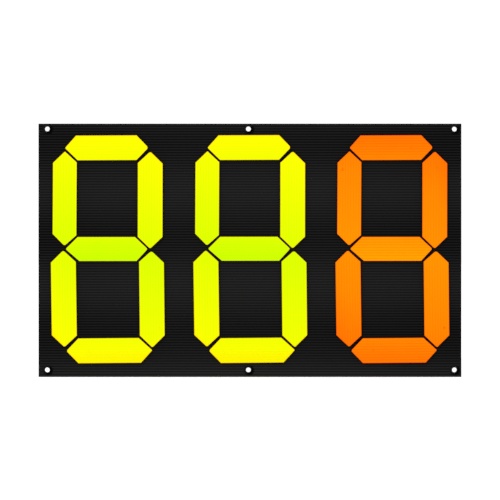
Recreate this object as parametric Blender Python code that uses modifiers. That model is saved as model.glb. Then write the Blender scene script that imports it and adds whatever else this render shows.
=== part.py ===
"""Hand-set three-digit number board.

A black twin-wall fluted plastic panel carries three seven-segment digits.
Each segment is a hexagon cut from the same kind of sheet and split along its
long centre line: the base half is bonded to the panel, and the leaf half folds
forward over it on a living hinge (the front liner of the sheet).  Leaf open:
the segment shows its bright front.  Leaf folded over: only black shows.
Six eyelets with rear washers take ties or hooks.

Frame: X to the viewer's right, Z up, the front faces -Y.  The origin is the
centre of the panel's rear face.  Metres.
"""

import math

import bmesh
import bpy
from mathutils import Matrix, Vector

# ---------------------------------------------------------------- dimensions
MM = 0.001

BOARD_W = 801.4 * MM        # panel width, along the flutes
BOARD_H = 480 * MM          # panel height, across the flutes
SHEET_T = 5.0 * MM          # twin-wall sheet thickness
LINER_T = 0.45 * MM         # each outer skin
WEB_T = 0.40 * MM           # each wall between two flutes
BOARD_FLUTES = 96           # flutes over the panel height (5 mm pitch)
SEGMENT_PITCH = 5.1 * MM    # flute pitch in the segments
GAP = 0.3 * MM              # clearance kept between neighbouring pieces

HINGE_LIFT = 0.25 * MM      # fold axis stands this far in front of the liner
HINGE_GAP = 0.15 * MM       # each half stops this far from the fold line
TIP_STEPS = 4               # straight steps that round half a tip
EDGE_NOTCH_MIN = 0.5 * MM   # an edge flute narrower than this is left closed

# digit: (x, z) of the digit's centre, and its colour
DIGITS = {
    "hundreds": (-270.9 * MM, 2.5 * MM, "yellow"),
    "tens": (-1.2 * MM, 3.0 * MM, "yellow"),
    "units": (267.7 * MM, 2.8 * MM, "orange"),
}

# segment: centre (x, z) from the digit's centre, length between the sharp
# tips, width, turn in degrees anticlockwise as seen from the front, the side
# that folds, how far the four shoulders lie back from the sharp tips (base
# and leaf at the head, then base and leaf at the tail), and how far the rounded
# tips stop short of the sharp ones (head, tail).  The head is the
# left end of a segment that folds down, the upper end of one that folds left
# and the lower end of one that folds right.  The pieces are cut by hand, so
# their shoulders and tips differ by a millimetre or a few.
SEGMENTS = {
    "top": (-0.2 * MM, 191.4 * MM, 157.9 * MM, 46.7 * MM, 0.26, "down",
            (21.0 * MM, 23.8 * MM, 22.2 * MM, 22.7 * MM),
            (1.0 * MM, 1.8 * MM)),
    "upper_left": (-79.7 * MM, 95.3 * MM, 178.6 * MM, 44.8 * MM, -0.30, "left",
                   (20.6 * MM, 21.8 * MM, 19.9 * MM, 22.4 * MM),
                   (0.6 * MM, 1.4 * MM)),
    "upper_right": (82.1 * MM, 92.4 * MM, 184.0 * MM, 46.8 * MM, -0.09, "right",
                    (22.6 * MM, 22.5 * MM, 21.8 * MM, 22.8 * MM),
                    (1.4 * MM, 1.5 * MM)),
    "middle": (-0.4 * MM, -0.1 * MM, 155.6 * MM, 45.4 * MM, 0.04, "down",
               (23.0 * MM, 26.2 * MM, 24.1 * MM, 21.1 * MM),
               (1.3 * MM, 1.3 * MM)),
    "lower_left": (-81.3 * MM, -94.2 * MM, 183.0 * MM, 47.2 * MM, 0.76, "left",
                   (22.1 * MM, 22.8 * MM, 21.6 * MM, 22.8 * MM),
                   (1.5 * MM, 1.3 * MM)),
    "lower_right": (85.3 * MM, -95.1 * MM, 182.8 * MM, 46.9 * MM, 0.61, "right",
                    (22.8 * MM, 22.8 * MM, 20.4 * MM, 22.7 * MM),
                    (1.1 * MM, 1.7 * MM)),
    "bottom": (4.8 * MM, -192.3 * MM, 162.7 * MM, 46.9 * MM, 0.49, "down",
               (22.8 * MM, 22.7 * MM, 25.6 * MM, 21.5 * MM),
               (1.6 * MM, 0.8 * MM)),
}
FOLD_SIDE = {
    "down": Vector((0, 0, -1)),
    "left": Vector((-1, 0, 0)),
    "right": Vector((1, 0, 0)),
}

# eyelet centres on the panel (x, z)
EYELETS = {
    "top_left": (-384.2 * MM, 230.1 * MM),
    "top_middle": (-2.9 * MM, 230.1 * MM),
    "top_right": (387.6 * MM, 229.8 * MM),
    "bottom_left": (-384.2 * MM, -226.8 * MM),
    "bottom_middle": (-2.9 * MM, -226.8 * MM),
    "bottom_right": (387.6 * MM, -226.8 * MM),
}
EYELET_BORE_R = 4.65 * MM
BARREL_R = 5.35 * MM
FLANGE_R = 8.4 * MM
FLANGE_H = 1.5 * MM
LIP_R = 7.0 * MM            # rear end of the barrel, rolled over the washer
LIP_H = 0.7 * MM
WASHER_T = 0.7 * MM
ROUND_STEPS = 24

COLOURS = {
    "yellow": ((0.80, 0.98, 0.00), 0.55),
    "orange": ((1.00, 0.24, 0.00), 0.55),
    "black": ((0.011, 0.011, 0.012), 0.50),
    "eyelet": ((0.006, 0.006, 0.007), 0.35),
}

FRONT = Vector((0, -1, 0))


# ------------------------------------------------------------------- helpers
def clear_scene():
    for obj in list(bpy.data.objects):
        bpy.data.objects.remove(obj, do_unlink=True)


def new_collection(name):
    coll = bpy.data.collections.new(name)
    bpy.context.scene.collection.children.link(coll)
    return coll


def paint(obj, colour):
    rgb, roughness = COLOURS[colour]
    mat = bpy.data.materials.new(obj.name + "_finish")
    mat.use_nodes = True
    bsdf = mat.node_tree.nodes["Principled BSDF"]
    bsdf.inputs["Base Color"].default_value = (*rgb, 1.0)
    bsdf.inputs["Roughness"].default_value = roughness
    bsdf.inputs["Metallic"].default_value = 0.0
    obj.data.materials.clear()
    obj.data.materials.append(mat)


def add_object(name, mesh, coll):
    obj = bpy.data.objects.new(name, mesh)
    coll.objects.link(obj)
    return obj


def move_to(obj, coll):
    for old in list(obj.users_collection):
        old.objects.unlink(obj)
    coll.objects.link(obj)


def as_cutter(obj):
    obj.hide_render = True
    obj.display_type = "WIRE"
    return obj


def extruded_mesh(name, outlines, half_depth):
    """A closed mesh from flat closed outlines (the first is the outside, the
    rest are holes), drawn in local XY and extruded by half_depth each way.
    It is drawn in millimetres, so thin walls fill cleanly, then scaled."""
    curve = bpy.data.curves.new(name + "_outline", "CURVE")
    curve.dimensions = "2D"
    curve.fill_mode = "BOTH"
    curve.extrude = half_depth / MM
    for points in outlines:
        spline = curve.splines.new("POLY")
        spline.points.add(len(points) - 1)
        for point, (x, y) in zip(spline.points, points):
            point.co = (x / MM, y / MM, 0.0, 1.0)
        spline.use_cyclic_u = True
    source = bpy.data.objects.new(name + "_outline", curve)
    bpy.context.scene.collection.objects.link(source)
    deps = bpy.context.evaluated_depsgraph_get()
    mesh = bpy.data.meshes.new_from_object(source.evaluated_get(deps))
    mesh.name = name
    bm = bmesh.new()
    bm.from_mesh(mesh)
    bmesh.ops.remove_doubles(bm, verts=bm.verts, dist=1e-3)
    bmesh.ops.scale(bm, vec=(MM, MM, MM), verts=bm.verts)
    bmesh.ops.recalc_face_normals(bm, faces=bm.faces)
    bm.to_mesh(mesh)
    bm.free()
    bpy.data.objects.remove(source, do_unlink=True)
    bpy.data.curves.remove(curve)
    return mesh


def boolean(obj, cutter, operation):
    mod = obj.modifiers.new(operation.lower(), "BOOLEAN")
    mod.operation = operation
    mod.solver = "EXACT"
    mod.object = cutter


def turned_mesh(name, profile):
    """A closed ring outline (radius, height) in local XZ, run down its outer
    side, for a Screw modifier about local Z."""
    mesh = bpy.data.meshes.new(name)
    count = len(profile)
    mesh.from_pydata(
        [(r, 0.0, h) for r, h in profile],
        [(i, (i + 1) % count) for i in range(count)],
        [],
    )
    return mesh


def turn(obj):
    mod = obj.modifiers.new("turn", "SCREW")
    mod.axis = "Z"
    mod.angle = math.tau
    mod.screw_offset = 0.0
    mod.steps = ROUND_STEPS
    mod.render_steps = ROUND_STEPS
    mod.use_merge_vertices = True
    mod.merge_threshold = 1e-6
    mod.use_smooth_shade = True


# --------------------------------------------------------------------- panel
def make_board(parts, cutters):
    bpy.ops.mesh.primitive_cube_add(size=1.0)
    panel = bpy.context.object
    panel.name = panel.data.name = "board_panel"
    panel.data.transform(Matrix.Diagonal((BOARD_W, SHEET_T, BOARD_H, 1.0)))
    panel.data.transform(Matrix.Translation((0, -SHEET_T / 2, 0)))
    move_to(panel, parts)
    paint(panel, "black")

    # one flute, open at both ends, repeated up the panel with a web between.
    # The long edges run along the middle of a flute, which is open there.
    pitch = BOARD_H / BOARD_FLUTES
    bpy.ops.mesh.primitive_cube_add(size=1.0)
    flutes = bpy.context.object
    flutes.name = flutes.data.name = "board_flutes"
    flutes.data.transform(Matrix.Diagonal(
        (BOARD_W + 0.02, SHEET_T - 2 * LINER_T, pitch - WEB_T, 1.0)))
    flutes.location = (0, -SHEET_T / 2, -BOARD_H / 2)
    move_to(as_cutter(flutes), cutters)
    row = flutes.modifiers.new("row", "ARRAY")
    row.count = BOARD_FLUTES + 1
    row.use_relative_offset = False
    row.use_constant_offset = True
    row.constant_offset_displace = (0, 0, pitch)
    row.use_merge_vertices = False
    boolean(panel, flutes, "DIFFERENCE")

    bm = bmesh.new()
    for x, z in EYELETS.values():
        place = Matrix.Translation((x, -SHEET_T / 2, z)) @ Matrix.Rotation(math.pi / 2, 4, "X")
        bmesh.ops.create_cone(
            bm, cap_ends=True, segments=ROUND_STEPS,
            radius1=BARREL_R + GAP, radius2=BARREL_R + GAP,
            depth=4 * SHEET_T, matrix=place,
        )
    holes = bpy.data.meshes.new("eyelet_holes")
    bm.to_mesh(holes)
    bm.free()
    cutter = as_cutter(add_object("eyelet_holes", holes, cutters))
    boolean(panel, cutter, "DIFFERENCE")
    return panel


# ------------------------------------------------------------------- eyelets
def make_eyelets(parts):
    front = SHEET_T + GAP                 # underside of the front flange
    crown = front + FLANGE_H
    washer_top = -GAP
    washer_low = washer_top - WASHER_T
    lip_top = washer_low - GAP
    lip_low = lip_top - LIP_H
    bore, barrel = EYELET_BORE_R, BARREL_R

    eyelet_profile = [
        (6.1 * MM, crown),
        (7.6 * MM, crown - 0.35 * MM),
        (FLANGE_R, front + 0.35 * MM),
        (FLANGE_R, front),
        (barrel, front),
        (barrel, lip_top),
        (LIP_R - 0.2 * MM, lip_top),
        (LIP_R, lip_top - 0.3 * MM),
        (LIP_R - 0.3 * MM, lip_low),
        (bore + 0.3 * MM, lip_low),
        (bore, lip_low + 0.4 * MM),
        (bore, front + 0.4 * MM),
        (bore + 0.4 * MM, crown - 0.35 * MM),
    ]
    washer_profile = [
        (FLANGE_R - 0.2 * MM, washer_top),
        (FLANGE_R, washer_top - 0.25 * MM),
        (FLANGE_R, washer_low),
        (barrel + GAP, washer_low),
        (barrel + GAP, washer_top),
    ]
    to_front = Matrix.Rotation(math.pi / 2, 4, "X")   # local Z becomes -Y
    for place, (x, z) in EYELETS.items():
        for name, profile in (
            ("eyelet_" + place, eyelet_profile),
            ("eyelet_washer_" + place, washer_profile),
        ):
            obj = add_object(name, turned_mesh(name, profile), parts)
            obj.matrix_world = Matrix.Translation((x, 0.0, z)) @ to_front
            turn(obj)
            paint(obj, "eyelet")


# ------------------------------------------------------------------ segments
def half_section(half_width, side):
    """Cross-section of a leaf (side +1) or base (side -1): x runs away from
    the fold line, y towards the front with the fold axis at 0.  The flute on
    the fold line is slit, so the fold edge is an open half flute, and webs
    stand half a pitch, one and a half pitches ... from the fold line."""
    front = -HINGE_LIFT
    back = front - SHEET_T
    f_in, b_in = front - LINER_T, back + LINER_T
    webs = []
    v = SEGMENT_PITCH / 2
    while v + WEB_T / 2 < half_width:
        webs.append(v)
        v += SEGMENT_PITCH
    first, last = webs[0] - WEB_T / 2, webs[-1] + WEB_T / 2

    outside = [(HINGE_GAP, back), (half_width, back)]
    if half_width - last > EDGE_NOTCH_MIN:
        outside += [(half_width, b_in), (last, b_in), (last, f_in), (half_width, f_in)]
    outside += [(half_width, front), (HINGE_GAP, front)]
    outside += [(HINGE_GAP, f_in), (first, f_in), (first, b_in), (HINGE_GAP, b_in)]

    outlines = [outside]
    for a, b in zip(webs, webs[1:]):
        low, high = a + WEB_T / 2, b - WEB_T / 2
        outlines.append([(low, b_in), (high, b_in), (high, f_in), (low, f_in)])
    return [[(side * x, y) for x, y in line] for line in outlines]


def rounded_end(inset, half_width, far, trim):
    """One end of a half segment in plan, from the fold line outwards, as
    (distance back from the sharp tip, distance from the fold line).  The sharp
    tip is trimmed across and eased into the slanted edge."""
    slant = Vector((inset, half_width)) / half_width
    corner = slant * (trim / slant.x)
    ease = corner + slant.normalized() * corner.y
    start = Vector((trim, 0.0))
    points = []
    for i in range(TIP_STEPS + 1):
        t = i / TIP_STEPS
        points.append((1 - t) ** 2 * start + 2 * t * (1 - t) * corner + t ** 2 * ease)
    return points + [slant * far]


def tip_outline(length, half_width, side, shoulders, trims):
    """The end cuts of a half segment in plan: x along the fold line, y away
    from it.  The long sides stand clear of the sheet so only the ends cut."""
    reach = 6 * MM
    far = half_width + reach
    ends = []
    for way, inset, trim in zip((1, -1), shoulders, trims):
        line = rounded_end(inset, half_width, far, trim)
        points = [(length / 2 - p.x, p.y) for p in line]
        points.insert(0, (points[0][0], -reach))
        ends.append([(way * x, side * y) for x, y in points])
    return [ends[0] + ends[1][::-1]]


def segment_frame(digit, segment):
    """World matrix of a segment: origin on the fold axis at the segment's
    centre, X along the axis, Y towards the leaf, Z out of the front."""
    dx, dz, _ = DIGITS[digit]
    x, z, _, _, turn_deg, fold = SEGMENTS[segment][:6]
    leaf_way = FOLD_SIDE[fold].copy()
    leaf_way.rotate(Matrix.Rotation(-math.radians(turn_deg), 3, "Y"))
    along = leaf_way.cross(FRONT)
    y = -(SHEET_T + GAP + SHEET_T + HINGE_LIFT)
    frame = Matrix((along, leaf_way, FRONT)).transposed().to_4x4()
    return Matrix.Translation((dx + x, y, dz + z)) @ frame


def make_segment(digit, segment, parts, cutters):
    _, _, length, width, _, _, shoulders, trims = SEGMENTS[segment]
    half_width = width / 2
    stem = digit + "_" + segment

    hinge = bpy.data.objects.new(stem + "_hinge_line", None)
    hinge.empty_display_size = 0.02
    parts.objects.link(hinge)
    hinge.matrix_world = segment_frame(digit, segment)

    # section axes (x, y, z) become piece axes (Y, Z, X)
    lay = Matrix(((0, 0, 1, 0), (1, 0, 0, 0), (0, 1, 0, 0), (0, 0, 0, 1)))
    for role, side, own in (("base", -1, shoulders[0::2]), ("leaf", 1, shoulders[1::2])):
        name = stem + "_" + role
        mesh = extruded_mesh(name, half_section(half_width, side), length / 2 + 0.02)
        mesh.transform(lay)
        piece = add_object(name, mesh, parts)
        piece.parent = hinge
        paint(piece, DIGITS[digit][2])

        outline = tip_outline(length, half_width, side, own, trims)
        ends = extruded_mesh(name + "_ends", outline, 4 * SHEET_T)
        cutter = as_cutter(add_object(name + "_ends", ends, cutters))
        cutter.parent = hinge
        boolean(piece, cutter, "INTERSECT")


# ---------------------------------------------------------------------- build
def main():
    clear_scene()
    parts = new_collection("number_board")
    cutters = new_collection("number_board_cutters")
    make_board(parts, cutters)
    make_eyelets(parts)
    for digit in DIGITS:
        for segment in SEGMENTS:
            make_segment(digit, segment, parts, cutters)
    bpy.context.view_layer.update()


main()
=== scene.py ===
"""Looks of the hand-set three-digit number board: ribbed twin-wall sheet,
fluorescent film over each segment, turned eyelets, studio floor and light."""

import math

import bmesh
import bpy
from mathutils import Matrix, Vector


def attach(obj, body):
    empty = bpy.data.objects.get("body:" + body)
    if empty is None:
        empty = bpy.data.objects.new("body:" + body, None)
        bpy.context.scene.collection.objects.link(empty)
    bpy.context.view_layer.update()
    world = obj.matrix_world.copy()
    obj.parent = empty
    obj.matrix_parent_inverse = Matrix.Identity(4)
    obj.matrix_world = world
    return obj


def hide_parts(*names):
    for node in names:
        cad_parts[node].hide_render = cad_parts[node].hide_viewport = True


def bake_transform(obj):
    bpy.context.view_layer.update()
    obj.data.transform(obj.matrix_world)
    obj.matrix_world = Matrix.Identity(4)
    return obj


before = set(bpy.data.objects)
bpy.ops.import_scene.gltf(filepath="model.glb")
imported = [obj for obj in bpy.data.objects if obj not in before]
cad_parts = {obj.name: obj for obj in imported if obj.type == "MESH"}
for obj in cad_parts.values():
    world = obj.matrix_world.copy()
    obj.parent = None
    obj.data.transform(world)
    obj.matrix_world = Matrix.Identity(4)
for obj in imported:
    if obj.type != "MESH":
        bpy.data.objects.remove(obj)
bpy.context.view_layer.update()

# ------------------------------------------------------------------ constants
MM = 0.001
BOARD_W, BOARD_H, SHEET_T = 0.8014, 0.480, 5.0 * MM
LINER_T, WEB_T, GAP = 0.45 * MM, 0.40 * MM, 0.3 * MM
BOARD_FLUTES = 96
SEGMENT_PITCH = 5.1 * MM
HINGE_LIFT, HINGE_GAP = 0.25 * MM, 0.15 * MM

DIGITS = {
    "hundreds": (-270.9 * MM, 2.5 * MM, "yellow"),
    "tens": (-1.2 * MM, 3.0 * MM, "yellow"),
    "units": (267.7 * MM, 2.8 * MM, "orange"),
}
# centre x, z from the digit's centre, length between the sharp tips, width,
# turn, folding side, set-back of the shoulders from the sharp tips (base and
# leaf at the head, base and leaf at the tail), how far the rounded tips stop
# short of the sharp ones (head, tail), tint, and a small scuff on the film
# (along, across, how strong)
SEGMENTS = {
    "top": (-0.2 * MM, 191.4 * MM, 157.9 * MM, 46.7 * MM, 0.26, "down",
            (21.0 * MM, 23.8 * MM, 22.2 * MM, 22.7 * MM),
            (1.0 * MM, 1.8 * MM), 0.0, (-37.5 * MM, 0.5 * MM, 0.50)),
    "upper_left": (-79.7 * MM, 95.3 * MM, 178.6 * MM, 44.8 * MM, -0.30, "left",
                   (20.6 * MM, 21.8 * MM, 19.9 * MM, 22.4 * MM),
                   (0.6 * MM, 1.4 * MM), -1.0, (54.5 * MM, 13.2 * MM, 1.00)),
    "upper_right": (82.1 * MM, 92.4 * MM, 184.0 * MM, 46.8 * MM, -0.09, "right",
                    (22.6 * MM, 22.5 * MM, 21.8 * MM, 22.8 * MM),
                    (1.4 * MM, 1.5 * MM), 1.0, (-62.0 * MM, 4.0 * MM, 0.40)),
    "middle": (-0.4 * MM, -0.1 * MM, 155.6 * MM, 45.4 * MM, 0.04, "down",
               (23.0 * MM, 26.2 * MM, 24.1 * MM, 21.1 * MM),
               (1.3 * MM, 1.3 * MM), 0.0, (-24.0 * MM, 9.0 * MM, 0.15)),
    "lower_left": (-81.3 * MM, -94.2 * MM, 183.0 * MM, 47.2 * MM, 0.76, "left",
                   (22.1 * MM, 22.8 * MM, 21.6 * MM, 22.8 * MM),
                   (1.5 * MM, 1.3 * MM), 1.0, (-62.0 * MM, 2.0 * MM, 0.40)),
    "lower_right": (85.3 * MM, -95.1 * MM, 182.8 * MM, 46.9 * MM, 0.61, "right",
                    (22.8 * MM, 22.8 * MM, 20.4 * MM, 22.7 * MM),
                    (1.1 * MM, 1.7 * MM), -1.0, (54.5 * MM, 14.2 * MM, 1.00)),
    "bottom": (4.8 * MM, -192.3 * MM, 162.7 * MM, 46.9 * MM, 0.49, "down",
               (22.8 * MM, 22.7 * MM, 25.6 * MM, 21.5 * MM),
               (1.6 * MM, 0.8 * MM), 0.0, (39.0 * MM, -0.8 * MM, 0.50)),
}
FOLD_SIDE = {"down": Vector((0, 0, -1)), "left": Vector((-1, 0, 0)), "right": Vector((1, 0, 0))}
EYELETS = {
    "top_left": (-384.2 * MM, 230.1 * MM),
    "top_middle": (-2.9 * MM, 230.1 * MM),
    "top_right": (387.6 * MM, 229.8 * MM),
    "bottom_left": (-384.2 * MM, -226.8 * MM),
    "bottom_middle": (-2.9 * MM, -226.8 * MM),
    "bottom_right": (387.6 * MM, -226.8 * MM),
}
FRONT = Vector((0, -1, 0))

BOARD_SAG = 0.20 * MM       # how far a liner sinks between two webs
SEGMENT_SAG = 0.10 * MM
FILM_PROUD = 0.05 * MM      # film ridges above the sheet's nominal face
FILM_BACK = 0.24 * MM       # film's back below the sheet's nominal face
CELL_STEPS = 6
WEB_SHADE_DEPTH = {"yellow": (0.57, 0.83), "orange": (1.0, 0.56)}    # painted shade along the webs of lying and upright films
BAND_AT, BAND_PITCH = 113.5 * MM, 182.0 * MM    # broad soft bands across the panel


# ------------------------------------------------------------------- materials
def srgb(v):
    v = v / 255.0
    return v / 12.92 if v <= 0.04045 else ((v + 0.055) / 1.055) ** 2.4


class Nodes:
    def __init__(self, name):
        self.mat = bpy.data.materials.new(name)
        self.mat.use_nodes = True
        self.tree = self.mat.node_tree
        self.bsdf = self.tree.nodes["Principled BSDF"]

    def add(self, kind, **props):
        node = self.tree.nodes.new(kind)
        for key, value in props.items():
            setattr(node, key, value)
        return node

    def link(self, a, b):
        self.tree.links.new(a, b)

    def attribute(self, name):
        return self.add("ShaderNodeAttribute", attribute_name=name).outputs["Fac"]

    def math(self, op, a, b=None, clamp=False):
        node = self.add("ShaderNodeMath", operation=op, use_clamp=clamp)
        for i, v in enumerate((a, b)):
            if v is None:
                continue
            if isinstance(v, (int, float)):
                node.inputs[i].default_value = v
            else:
                self.link(v, node.inputs[i])
        return node.outputs[0]

    def mapped(self, scale):
        coord = self.add("ShaderNodeTexCoord").outputs["Object"]
        mapping = self.add("ShaderNodeMapping")
        mapping.inputs["Scale"].default_value = scale
        self.link(coord, mapping.inputs["Vector"])
        return mapping.outputs["Vector"]

    def place(self):
        node = self.add("ShaderNodeSeparateXYZ")
        self.link(self.add("ShaderNodeTexCoord").outputs["Object"], node.inputs[0])
        return node.outputs["X"], node.outputs["Z"]

    def noise(self, scale, vec_scale, detail=2.0, rough=0.5):
        node = self.add("ShaderNodeTexNoise")
        node.inputs["Scale"].default_value = scale
        node.inputs["Detail"].default_value = detail
        node.inputs["Roughness"].default_value = rough
        self.link(self.mapped(vec_scale), node.inputs["Vector"])
        return node.outputs["Fac"]

    def ramp(self, fac, stops):
        node = self.add("ShaderNodeValToRGB")
        ramp = node.color_ramp
        while len(ramp.elements) > 1:
            ramp.elements.remove(ramp.elements[-1])
        ramp.elements[0].position, ramp.elements[0].color = stops[0][0], (*stops[0][1], 1)
        for pos, rgb in stops[1:]:
            ramp.elements.new(pos).color = (*rgb, 1)
        self.link(fac, node.inputs["Fac"])
        return node.outputs["Color"]

    def mix(self, fac, a, b, blend="MIX"):
        node = self.add("ShaderNodeMix", data_type="RGBA", blend_type=blend)
        for sock, v in ((node.inputs[0], fac), (node.inputs[6], a), (node.inputs[7], b)):
            if isinstance(v, (int, float)):
                sock.default_value = v
            elif isinstance(v, tuple):
                sock.default_value = (*v, 1)
            else:
                self.link(v, sock)
        return node.outputs[2]

    def bump(self, height, strength, distance):
        node = self.add("ShaderNodeBump")
        node.inputs["Strength"].default_value = strength
        node.inputs["Distance"].default_value = distance
        self.link(height, node.inputs["Height"])
        self.link(node.outputs["Normal"], self.bsdf.inputs["Normal"])


def black_sheet(name, panel):
    """Black polypropylene sheet: painted shade over each sunk flute, long faint
    streaks and, on the panel, broad soft bands of painted light and shade,
    painted shade towards both ends, painted light along its foot, painted
    shadows below and right of each eyelet, slightly uneven gloss and a fine
    skin texture."""
    n = Nodes(name)
    flute = n.attribute("flute")
    streak = n.noise(1.0, (1.2, 40.0, 9.0) if panel else (9.0, 40.0, 9.0), 3.0, 0.55)
    tone = n.math("ADD", n.math("MULTIPLY", streak, 0.0022), 0.0095)
    if panel:
        x, z = n.place()
        # broad soft bands of painted light and shade from the sheet's waviness
        bands = n.math("COSINE", n.math("MULTIPLY", n.math("SUBTRACT", z, BAND_AT), math.tau / BAND_PITCH))
        tone = n.math("ADD", tone, n.math("MULTIPLY", bands, 0.0021))
        # painted shade: darker towards the left and right ends
        tone = n.math("SUBTRACT", tone, n.math("MULTIPLY", n.math("MULTIPLY", x, x), 0.0108))
        # painted light along its foot: lighter there, with the painted flute shade deeper
        foot = n.math("MAXIMUM", n.math("SUBTRACT", -0.205, z), 0.0)
        tone = n.math("ADD", tone, n.math("MULTIPLY", foot, 0.14))
        flute = n.math("MULTIPLY", flute, n.math("ADD", n.math("MULTIPLY", foot, 18.0), 1.0))
    # painted shade in each sunk flute between the webs
    tone = n.math("SUBTRACT", tone, n.math("MULTIPLY", flute, 0.0078))
    if panel:
        # painted shadow below and to the right of each eyelet
        near = None
        for ex, ez in EYELETS.values():
            away = n.add("ShaderNodeVectorMath", operation="DISTANCE")
            n.link(n.add("ShaderNodeTexCoord").outputs["Object"], away.inputs[0])
            away.inputs[1].default_value = (ex + 1.5 * MM, -SHEET_T, ez - 1.1 * MM)
            near = away.outputs["Value"] if near is None else n.math("MINIMUM", near, away.outputs["Value"])
        eyelet_painted_shadow = n.math("MULTIPLY", n.math("SUBTRACT", 10.6 * MM, near), 1 / (2.6 * MM), clamp=True)
        tone = n.math("SUBTRACT", tone, n.math("MULTIPLY", eyelet_painted_shadow, 0.0105))
    n.link(n.math("MAXIMUM", tone, 0.0004), n.bsdf.inputs["Base Color"])
    gloss = n.noise(60.0, (0.35, 1.0, 1.0) if panel else (1.0, 1.0, 1.0), 4.0, 0.6)
    n.link(n.math("ADD", n.math("MULTIPLY", gloss, 0.16), 0.30), n.bsdf.inputs["Roughness"])
    n.bsdf.inputs["Specular IOR Level"].default_value = 0.03
    skin = n.noise(900.0, (0.2, 1.0, 1.0) if panel else (1.0, 1.0, 1.0), 2.0, 0.5)
    n.bump(skin, 0.12, 0.0004)
    return n.mat


def film(name, hue):
    """Fluorescent front: painted light that leaves it greener (or more golden)
    towards the digit's middle, faint lines of painted shade over the webs, one
    small scuff, and a painted glow standing in for fluorescence."""
    n = Nodes(name)
    flute = n.attribute("flute")
    cloud = n.noise(28.0, (1.0, 1.0, 1.0), 3.0, 0.55)
    fac = n.math("ADD", n.attribute("painted_light_falloff"), n.math("MULTIPLY", n.math("SUBTRACT", cloud, 0.5), 0.08), clamp=True)
    # the paint gives about half of the light back and a painted glow, standing in for fluorescence, the rest
    if hue == "yellow":
        stops = [(0.0, (204, 255)), (0.15, (221, 255)), (0.9, (250, 255)), (1.0, (255, 246))]
        line, scuff = (0.85, 0.97, 0.0), (PAINT * srgb(255), PAINT * srgb(232), 0.0)
    else:
        stops = [(0.0, (255, 163)), (0.15, (255, 149)), (0.65, (255, 137)), (1.0, (255, 117))]
        line, scuff = (0.98, 0.77, 0.0), (PAINT * srgb(252), PAINT * srgb(88), 0.0)
    colour = n.ramp(fac, [(at, (PAINT * srgb(r) * (1.03 if r == 255 else 1.02),
                                PAINT * srgb(g) * (1.03 if g == 255 else 1.02), 0.0)) for at, (r, g) in stops])
    # painted shade along the webs, as slightly deeper lines
    web = n.math("POWER", n.math("SUBTRACT", 1.0, flute), 2.0, clamp=True)
    web = n.math("MULTIPLY", web, n.attribute("web_shade_depth"))
    ribbed = n.mix(web, colour, n.mix(1.0, colour, line, "MULTIPLY"))
    # the film is deeper in tone along its cut edge
    end = n.math("MULTIPLY", n.math("MINIMUM", n.attribute("from_head"), n.attribute("from_tail")), 0.72)
    rim = n.math("MULTIPLY", n.math("MINIMUM", n.attribute("from_side"), end), 1 / (2.4 * MM))
    rim = n.math("SUBTRACT", 1.0, rim, clamp=True)
    ribbed = n.mix(rim, ribbed, n.mix(1.0, ribbed, (1.18, 0.78, 0.0), "MULTIPLY"))
    # the scuff, a soft spot a few millimetres across
    dx, dy = n.attribute("scuff_along"), n.attribute("scuff_across")
    away = n.math("SQRT", n.math("ADD", n.math("MULTIPLY", dx, dx), n.math("MULTIPLY", dy, dy)))
    spot = n.math("SUBTRACT", 1.0, n.math("MULTIPLY", away, 1 / (3.0 * MM)), clamp=True)
    spot = n.math("MULTIPLY", n.math("SMOOTH_MIN", spot, 0.75), n.attribute("scuff_depth"))
    final = n.mix(spot, ribbed, scuff)
    n.link(final, n.bsdf.inputs["Base Color"])
    n.link(final, n.bsdf.inputs["Emission Color"])
    n.bsdf.inputs["Emission Strength"].default_value = PAINTED_GLOW / PAINT
    gloss = n.noise(45.0, (1.0, 1.0, 1.0), 3.0, 0.6)
    n.link(n.math("ADD", n.math("MULTIPLY", gloss, 0.15), 0.42), n.bsdf.inputs["Roughness"])
    n.bsdf.inputs["Specular IOR Level"].default_value = 0.01
    skin = n.noise(700.0, (1.0, 1.0, 1.0), 2.0, 0.5)
    n.bump(skin, 0.08, 0.0004)
    return n.mat


def eyelet_paint(name):
    """Black enamel over turned metal with some random wear: painted light leaves
    the upper left of the crown dark grey, and painted shade leaves its lower
    right and the bore deep black."""
    n = Nodes(name)
    wear = n.noise(420.0, (1.0, 1.0, 1.0), 4.0, 0.65)
    # random wear less the painted shade sets how far the enamel shows dark grey
    wear_and_painted_light = n.math("SUBTRACT", n.math("ADD", n.math("MULTIPLY", wear, 0.5), 0.7), n.attribute("eyelet_painted_shade"), clamp=True)
    colour = n.ramp(wear_and_painted_light, [(0.0, (0.0002, 0.0002, 0.0002)), (0.3, (0.0012, 0.0012, 0.0012)),
                          (0.9, (0.0066, 0.0065, 0.0064))])
    n.link(colour, n.bsdf.inputs["Base Color"])
    n.link(n.math("ADD", n.math("MULTIPLY", wear, 0.25), 0.24), n.bsdf.inputs["Roughness"])
    n.bsdf.inputs["Specular IOR Level"].default_value = 0.01
    n.bump(wear, 0.15, 0.0002)
    return n.mat


PAINTED_GLOW, PAINT = 0.28, 0.51
MAT_BOARD = black_sheet("black_fluted_sheet", True)
MAT_CORE = black_sheet("black_segment_sheet", False)
MAT_EYELET = eyelet_paint("black_eyelet_enamel")
MAT_FILM = {hue: film("fluorescent_" + hue + "_film", hue) for hue in ("yellow", "orange")}


# -------------------------------------------------------------------- geometry
def add_piece(name, bm, mat, matrix=None, smooth_angle=30.0):
    mesh = bpy.data.meshes.new(name)
    bmesh.ops.recalc_face_normals(bm, faces=bm.faces)
    bm.to_mesh(mesh)
    bm.free()
    if matrix is not None:
        mesh.transform(matrix)
    mesh.materials.append(mat)
    mesh.shade_smooth()
    mesh.set_sharp_from_angle(angle=math.radians(smooth_angle))
    obj = bpy.data.objects.new(name, mesh)
    bpy.context.scene.collection.objects.link(obj)
    return obj


def set_attribute(mesh, name, values):
    att = mesh.attributes.get(name) or mesh.attributes.new(name, "FLOAT", "POINT")
    att.data.foreach_set("value", values)


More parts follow.
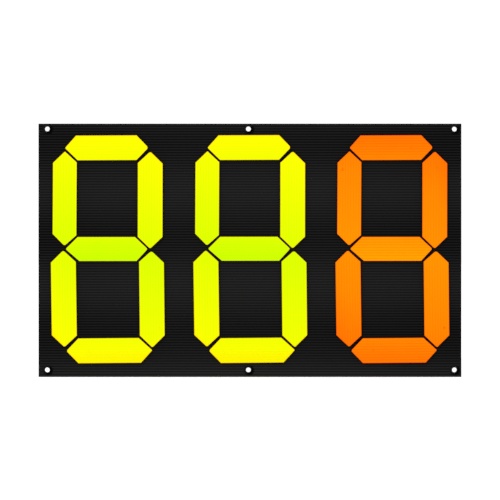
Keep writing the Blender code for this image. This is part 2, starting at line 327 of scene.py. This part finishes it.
def prism(columns, rows, present, reach):
    """A closed solid along local X. columns are the across positions v, rows
    are functions giving the height n at v (front first), present(c, r) says
    whether the patch between columns c, c+1 and rows r, r+1 is material, and
    reach(v) gives where the solid starts and stops along X at v."""
    bm = bmesh.new()
    ends = {}

    def vert(c, r, end):
        key = (c, r, end)
        if key not in ends:
            v = columns[c]
            ends[key] = bm.verts.new((reach(v)[end], v, rows[r](v)))
        return ends[key]

    edges = {}
    for c in range(len(columns) - 1):
        for r in range(len(rows) - 1):
            if not present(c, r):
                continue
            loop = [(c, r), (c + 1, r), (c + 1, r + 1), (c, r + 1)]
            for end in (0, 1):
                bm.faces.new([vert(a, b, end) for a, b in loop])
            for a, b in zip(loop, loop[1:] + loop[:1]):
                key = tuple(sorted((a, b)))
                edges[key] = edges.get(key, 0) + 1
    for (a, b), count in edges.items():
        if count == 1:
            bm.faces.new([vert(*a, 0), vert(*b, 0), vert(*b, 1), vert(*a, 1)])
    return bm


def sag_at(v, webs, depth):
    """Depth of the sunk liner at v, and how far v is from the webs (0 to 1)."""
    lo = max((w for w in webs if w <= v + 1e-9), default=None)
    hi = min((w for w in webs if w >= v - 1e-9), default=None)
    if lo is None or hi is None or hi - lo < 1e-9:
        return 0.0, 0.0
    t = (v - lo) / (hi - lo)
    edge = WEB_T / 2 / (hi - lo)
    t = min(max((t - edge) / (1 - 2 * edge), 0.0), 1.0)
    arch = math.sin(math.pi * t)
    return depth * arch, arch


def cell_columns(low, high, steps):
    return [low + (high - low) * i / steps for i in range(steps + 1)]


# ---- panel
def make_board():
    # the long edges run along the middle of a flute, so the webs of the list's
    # two ends are cut away
    pitch = BOARD_H / BOARD_FLUTES
    webs = [-BOARD_H / 2 + (i - 0.5) * pitch for i in range(BOARD_FLUTES + 2)]
    inner = webs[1:-1]
    columns, web_at = cell_columns(-BOARD_H / 2, inner[0] - WEB_T / 2, CELL_STEPS // 2), set()
    for i, w in enumerate(inner):
        web_at.add(len(columns) - 1)
        columns.append(w + WEB_T / 2)
        last = i + 1 == len(inner)
        stop = BOARD_H / 2 if last else inner[i + 1] - WEB_T / 2
        columns += cell_columns(columns[-1], stop, CELL_STEPS // 2 if last else CELL_STEPS)[1:]
    sag = {c: sag_at(c, webs, BOARD_SAG) for c in columns}
    rows = [
        lambda v: SHEET_T - sag[v][0],
        lambda v: SHEET_T - LINER_T,
        lambda v: LINER_T,
        lambda v: sag[v][0],
    ]
    bm = prism(columns, rows, lambda c, r: r != 1 or c in web_at, lambda v: (-BOARD_W / 2, BOARD_W / 2))
    # local (X, Y, Z) = (length, height, out of the front) to (X, Z, -Y)
    lay = Matrix(((1, 0, 0, 0), (0, 0, -1, 0), (0, 1, 0, 0), (0, 0, 0, 1)))
    obj = add_piece("board_sheet", bm, MAT_BOARD, lay)

    cut = bmesh.new()
    for x, z in EYELETS.values():
        bmesh.ops.create_cone(cut, cap_ends=True, segments=48, radius1=5.65 * MM, radius2=5.65 * MM,
                              depth=0.03, matrix=Matrix.Translation((x, 0, z)) @ Matrix.Rotation(math.pi / 2, 4, "X"))
    cut_mesh = bpy.data.meshes.new("eyelet_holes")
    cut.to_mesh(cut_mesh)
    cut.free()
    cutter = bpy.data.objects.new("eyelet_holes", cut_mesh)
    bpy.context.scene.collection.objects.link(cutter)
    mod = obj.modifiers.new("holes", "BOOLEAN")
    mod.operation, mod.solver, mod.object = "DIFFERENCE", "EXACT", cutter
    deps = bpy.context.evaluated_depsgraph_get()
    mesh = bpy.data.meshes.new_from_object(obj.evaluated_get(deps))
    obj.modifiers.clear()
    obj.data = mesh
    bpy.data.objects.remove(cutter, do_unlink=True)
    # close up the hair-thin faces that the round cuts leave beside the webs
    bm = bmesh.new()
    bm.from_mesh(mesh)
    bmesh.ops.dissolve_degenerate(bm, dist=0.01 * MM, edges=bm.edges)
    bmesh.ops.triangulate(bm, faces=[f for f in bm.faces if len(f.verts) > 4], ngon_method="BEAUTY")
    bm.to_mesh(mesh)
    bm.free()
    mesh.shade_smooth()
    mesh.set_sharp_from_angle(angle=math.radians(30))
    set_attribute(mesh, "flute", [sag_at(v.co.z, webs, 1.0)[1] for v in mesh.vertices])
    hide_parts("board_panel")
    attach(obj, "board")


# ---- eyelets
def lathe(profile, steps=72):
    bm = bmesh.new()
    rings = []
    for i in range(steps):
        a = math.tau * i / steps
        rings.append([bm.verts.new((r * math.cos(a), r * math.sin(a), h)) for r, h in profile])
    for i in range(steps):
        a, b = rings[i], rings[(i + 1) % steps]
        for j in range(len(profile)):
            k = (j + 1) % len(profile)
            bm.faces.new((a[j], b[j], b[k], a[k]))
    return bm


def arc(r_mid, r_half, h0, height, start, stop, count, power=1.0):
    points = []
    for i in range(count + 1):
        t = math.radians(start + (stop - start) * i / count)
        s = math.sin(t)
        points.append((r_mid + r_half * math.cos(t), h0 + height * math.copysign(abs(s) ** power, s)))
    return points


def make_eyelets():
    front = SHEET_T + GAP
    # front flange from its outer rim over the crown to the bore, then down the
    # bore, round the rolled rear lip and back up the outside of the barrel
    flange = arc(6.55 * MM, 1.83 * MM, front + 0.05 * MM, 1.42 * MM, 0, 175, 18, 0.85)
    lip = arc(5.82 * MM, 1.15 * MM, -1.35 * MM, 0.62 * MM, 180, 360, 12, 0.8)
    profile = flange + [(4.67 * MM, front - 0.3 * MM), (4.65 * MM, -0.9 * MM)] + lip
    profile += [(5.37 * MM, -1.32 * MM), (5.35 * MM, -1.1 * MM), (5.35 * MM, front - 0.05 * MM), (8.2 * MM, front)]
    ring = [(8.4 * MM, -0.55 * MM), (8.33 * MM, -0.38 * MM), (8.15 * MM, -0.31 * MM), (5.8 * MM, -0.31 * MM),
            (5.65 * MM, -0.4 * MM), (5.65 * MM, -0.98 * MM), (8.2 * MM, -0.98 * MM), (8.36 * MM, -0.85 * MM)]
    to_front = Matrix.Rotation(math.pi / 2, 4, "X")
    for place, (x, z) in EYELETS.items():
        here = Matrix.Translation((x, 0, z)) @ to_front
        for name, shape, node in (("eyelet_turned_" + place, profile, "eyelet_" + place),
                                  ("washer_turned_" + place, ring, "eyelet_washer_" + place)):
            obj = add_piece(name, lathe(shape), MAT_EYELET, here, 50.0)
            # painted shade: full on the lower right of the crown and in the bore, none on its upper left
            eyelet_painted_shade = []
            for v in obj.data.vertices:
                out = Vector((v.co.x - x, v.co.z - z))
                side = out.normalized().dot(Vector((0.82, -0.57)))
                bore = min(max((5.15 * MM - out.length) / (0.4 * MM), 0.0), 1.0)
                eyelet_painted_shade.append(max(min(max((side - 0.05) / 0.7, 0.0), 1.0), bore))
            set_attribute(obj.data, "eyelet_painted_shade", eyelet_painted_shade)
            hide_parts(node)
            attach(obj, "board")


# ---- segments
def segment_frame(digit, segment):
    dx, dz, _ = DIGITS[digit]
    x, z, _, _, turn, fold = SEGMENTS[segment][:6]
    leaf_way = FOLD_SIDE[fold].copy()
    leaf_way.rotate(Matrix.Rotation(-math.radians(turn), 3, "Y"))
    along = leaf_way.cross(FRONT)
    y = -(SHEET_T + GAP + SHEET_T + HINGE_LIFT)
    turned = Matrix((along, leaf_way, FRONT)).transposed().to_4x4()
    return Matrix.Translation((dx + x, y, dz + z)) @ turned


def set_back(v, inset, half_width, trim):
    """How far the end lies back from the sharp tip at v from the fold line:
    the tip is trimmed across, then eased into the slanted edge."""
    slope = inset / half_width
    corner = trim / slope
    run = corner / math.hypot(slope, 1.0)
    if v >= corner + run:
        return slope * v
    # quadratic ease through (0, trim), its corner and the slanted edge
    a, b = run - corner, 2 * corner
    t = v / b if abs(a) < 1e-12 else (-b + math.sqrt(b * b + 4 * a * v)) / (2 * a)
    return trim + t * t * slope * run


def make_segment(digit, segment):
    _, _, length, width, _, _, shoulders, trims, tint, scuff = SEGMENTS[segment]
    hue = DIGITS[digit][2]
    hw = width / 2
    stem = digit + "_" + segment
    place = segment_frame(digit, segment)

    def reach(v):
        head, tail = shoulders[0::2] if v < 0 else shoulders[1::2]
        return (set_back(abs(v), tail, hw, trims[1]) - length / 2,
                length / 2 - set_back(abs(v), head, hw, trims[0]))

    webs = []
    v = SEGMENT_PITCH / 2
    while v < hw + SEGMENT_PITCH:
        webs.append(v)
        v += SEGMENT_PITCH
    both = [-w for w in reversed(webs)] + webs
    inside = [w for w in webs if w + WEB_T / 2 < hw]

    # black sheet behind the film: rear liner from the slit outwards, webs, and
    # a front liner that starts at the first web, because the film is the hinge
    columns, web_at = cell_columns(HINGE_GAP, inside[0] - WEB_T / 2, 6), set()
    first_web = len(columns) - 1
    for i, w in enumerate(inside):
        web_at.add(len(columns) - 1)
        columns.append(w + WEB_T / 2)
        stop = inside[i + 1] - WEB_T / 2 if i + 1 < len(inside) else hw
        if stop - columns[-1] > 0.2 * MM:
            columns += cell_columns(columns[-1], stop, CELL_STEPS if i + 1 < len(inside) else 3)[1:]
    front = -HINGE_LIFT - FILM_BACK - 0.01 * MM
    back = -HINGE_LIFT - SHEET_T
    sag = {c: sag_at(c, both, SEGMENT_SAG) for c in columns}
    for role, side in (("base", -1), ("leaf", 1)):
        cols = [side * c for c in columns]
        rows = [
            lambda v: front,
            lambda v: -HINGE_LIFT - LINER_T - 0.05 * MM,
            lambda v: back + LINER_T,
            lambda v: back + sag[abs(v)][0],
        ]

        def present(c, r):
            if r == 0:
                return c >= first_web
            return r == 2 or c in web_at

        bm = prism(cols, rows, present, reach)
        obj = add_piece(stem + "_" + role + "_sheet", bm, MAT_CORE)
        set_attribute(obj.data, "flute", [sag_at(p.co.y, both, 1.0)[1] for p in obj.data.vertices])
        obj.data.transform(place)
        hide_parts(stem + "_" + role)
        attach(obj, "board" if role == "base" else stem + "_leaf")

    # bright film, one piece over both halves
    centre = inside[0] - WEB_T / 2
    right = cell_columns(0.0, centre, 12)
    for i, w in enumerate(inside):
        right.append(w + WEB_T / 2)
        stop = inside[i + 1] - WEB_T / 2 if i + 1 < len(inside) else hw
        if stop - right[-1] > 0.2 * MM:
            right += cell_columns(right[-1], stop, CELL_STEPS if i + 1 < len(inside) else 3)[1:]
    if hw - right[-1] > 1e-6:
        right.append(hw)
    columns = [-c for c in reversed(right[1:])] + right
    sag = {c: sag_at(c, both, SEGMENT_SAG) for c in columns}
    rows = [lambda v: -HINGE_LIFT + FILM_PROUD - sag[v][0], lambda v: -HINGE_LIFT - FILM_BACK]
    bm = prism(columns, rows, lambda c, r: True, reach)
    obj = add_piece(stem + "_film", bm, MAT_FILM[hue])
    points = [p.co.copy() for p in obj.data.vertices]
    set_attribute(obj.data, "flute", [sag_at(p.y, both, 1.0)[1] for p in points])
    set_attribute(obj.data, "scuff_along", [p.x - scuff[0] for p in points])
    set_attribute(obj.data, "scuff_across", [p.y - scuff[1] for p in points])
    set_attribute(obj.data, "scuff_depth", [scuff[2]] * len(points))
    set_attribute(obj.data, "web_shade_depth", [WEB_SHADE_DEPTH[hue][SEGMENTS[segment][5] != "down"]] * len(points))
    set_attribute(obj.data, "from_side", [hw - abs(p.y) for p in points])
    set_attribute(obj.data, "from_tail", [p.x - reach(p.y)[0] for p in points])
    set_attribute(obj.data, "from_head", [reach(p.y)[1] - p.x for p in points])
    obj.data.transform(place)
    # painted light: colour runs from the digit's middle out to its top and bottom
    mid = DIGITS[digit][1]
    painted_light_falloff = []
    for p, v in zip(points, obj.data.vertices):
        height = v.co.z - mid
        if segment == "middle":
            painted_light_falloff.append(0.07 + 0.07 * height / (20 * MM))
        elif segment in ("top", "bottom"):
            out = min(max((abs(height) - 168 * MM) / (47 * MM), 0.0), 1.0)
            low = 0.0 if height > 0 else 0.05 if hue == "yellow" else -0.06
            painted_light_falloff.append(0.62 + 0.38 * out ** 0.6 + low)
        else:
            edge = 0.12 * max(p.y / hw, 0.0) if tint > 0 else 0.0
            painted_light_falloff.append(0.2 + 0.8 * abs(height) / 0.216 + 0.08 * tint + edge)
    set_attribute(obj.data, "painted_light_falloff", painted_light_falloff)
    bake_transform(obj)


make_board()
make_eyelets()
for digit in DIGITS:
    for segment in SEGMENTS:
        make_segment(digit, segment)


# ------------------------------------------------------------ floor and light
def make_floor():
    bm = bmesh.new()
    bmesh.ops.create_grid(bm, x_segments=8, y_segments=8, size=30.0)
    mesh = bpy.data.meshes.new("floor")
    bm.to_mesh(mesh)
    bm.free()
    n = Nodes("floor_white")
    n.bsdf.inputs["Base Color"].default_value = (0.55, 0.55, 0.55, 1)
    n.bsdf.inputs["Roughness"].default_value = 0.9
    n.bsdf.inputs["Specular IOR Level"].default_value = 0.0
    n.bsdf.inputs["Emission Color"].default_value = (1, 1, 1, 1)
    n.bsdf.inputs["Emission Strength"].default_value = 0.60
    mesh.materials.append(n.mat)
    floor = bpy.data.objects.new("floor", mesh)
    floor.location = (0, 0, -BOARD_H / 2 - 0.0006)
    bpy.context.scene.collection.objects.link(floor)


def area_light(name, place, target, size, power):
    data = bpy.data.lights.new(name, "AREA")
    data.shape, data.size, data.energy = "DISK", size, power
    obj = bpy.data.objects.new(name, data)
    obj.location = place
    obj.rotation_euler = (Vector(target) - Vector(place)).to_track_quat("-Z", "Y").to_euler()
    bpy.context.scene.collection.objects.link(obj)


make_floor()
area_light("key", (-2.9, -4.8, 4.2), (0, 0, 0), 1.5, 200)

world = bpy.data.worlds.new("studio")
world.use_nodes = True
sky = world.node_tree.nodes["Background"]
sky.inputs["Color"].default_value = (1, 1, 1, 1)
sky.inputs["Strength"].default_value = 1.06
scene = bpy.context.scene
scene.world = world
scene.view_settings.view_transform = "Standard"
scene.view_settings.look = "None"
scene.view_settings.exposure = 0.0
scene.view_settings.gamma = 1.0

# --------------------------------------------------------------------- camera
PX = 0.800 / 422.14                        # metres per pixel at the panel face
LENS, SENSOR = 135.0, 36.0
cam_data = bpy.data.cameras.new("camera")
cam_data.lens, cam_data.sensor_width = LENS, SENSOR
cam_data.clip_start, cam_data.clip_end = 0.05, 100.0
cam = bpy.data.objects.new("camera", cam_data)
cam.location = (0.06 * PX, -SHEET_T - 500 * PX * LENS / SENSOR, 0.29 * PX)
cam.rotation_euler = (math.pi / 2, 0, 0)
scene.collection.objects.link(cam)
scene.camera = cam
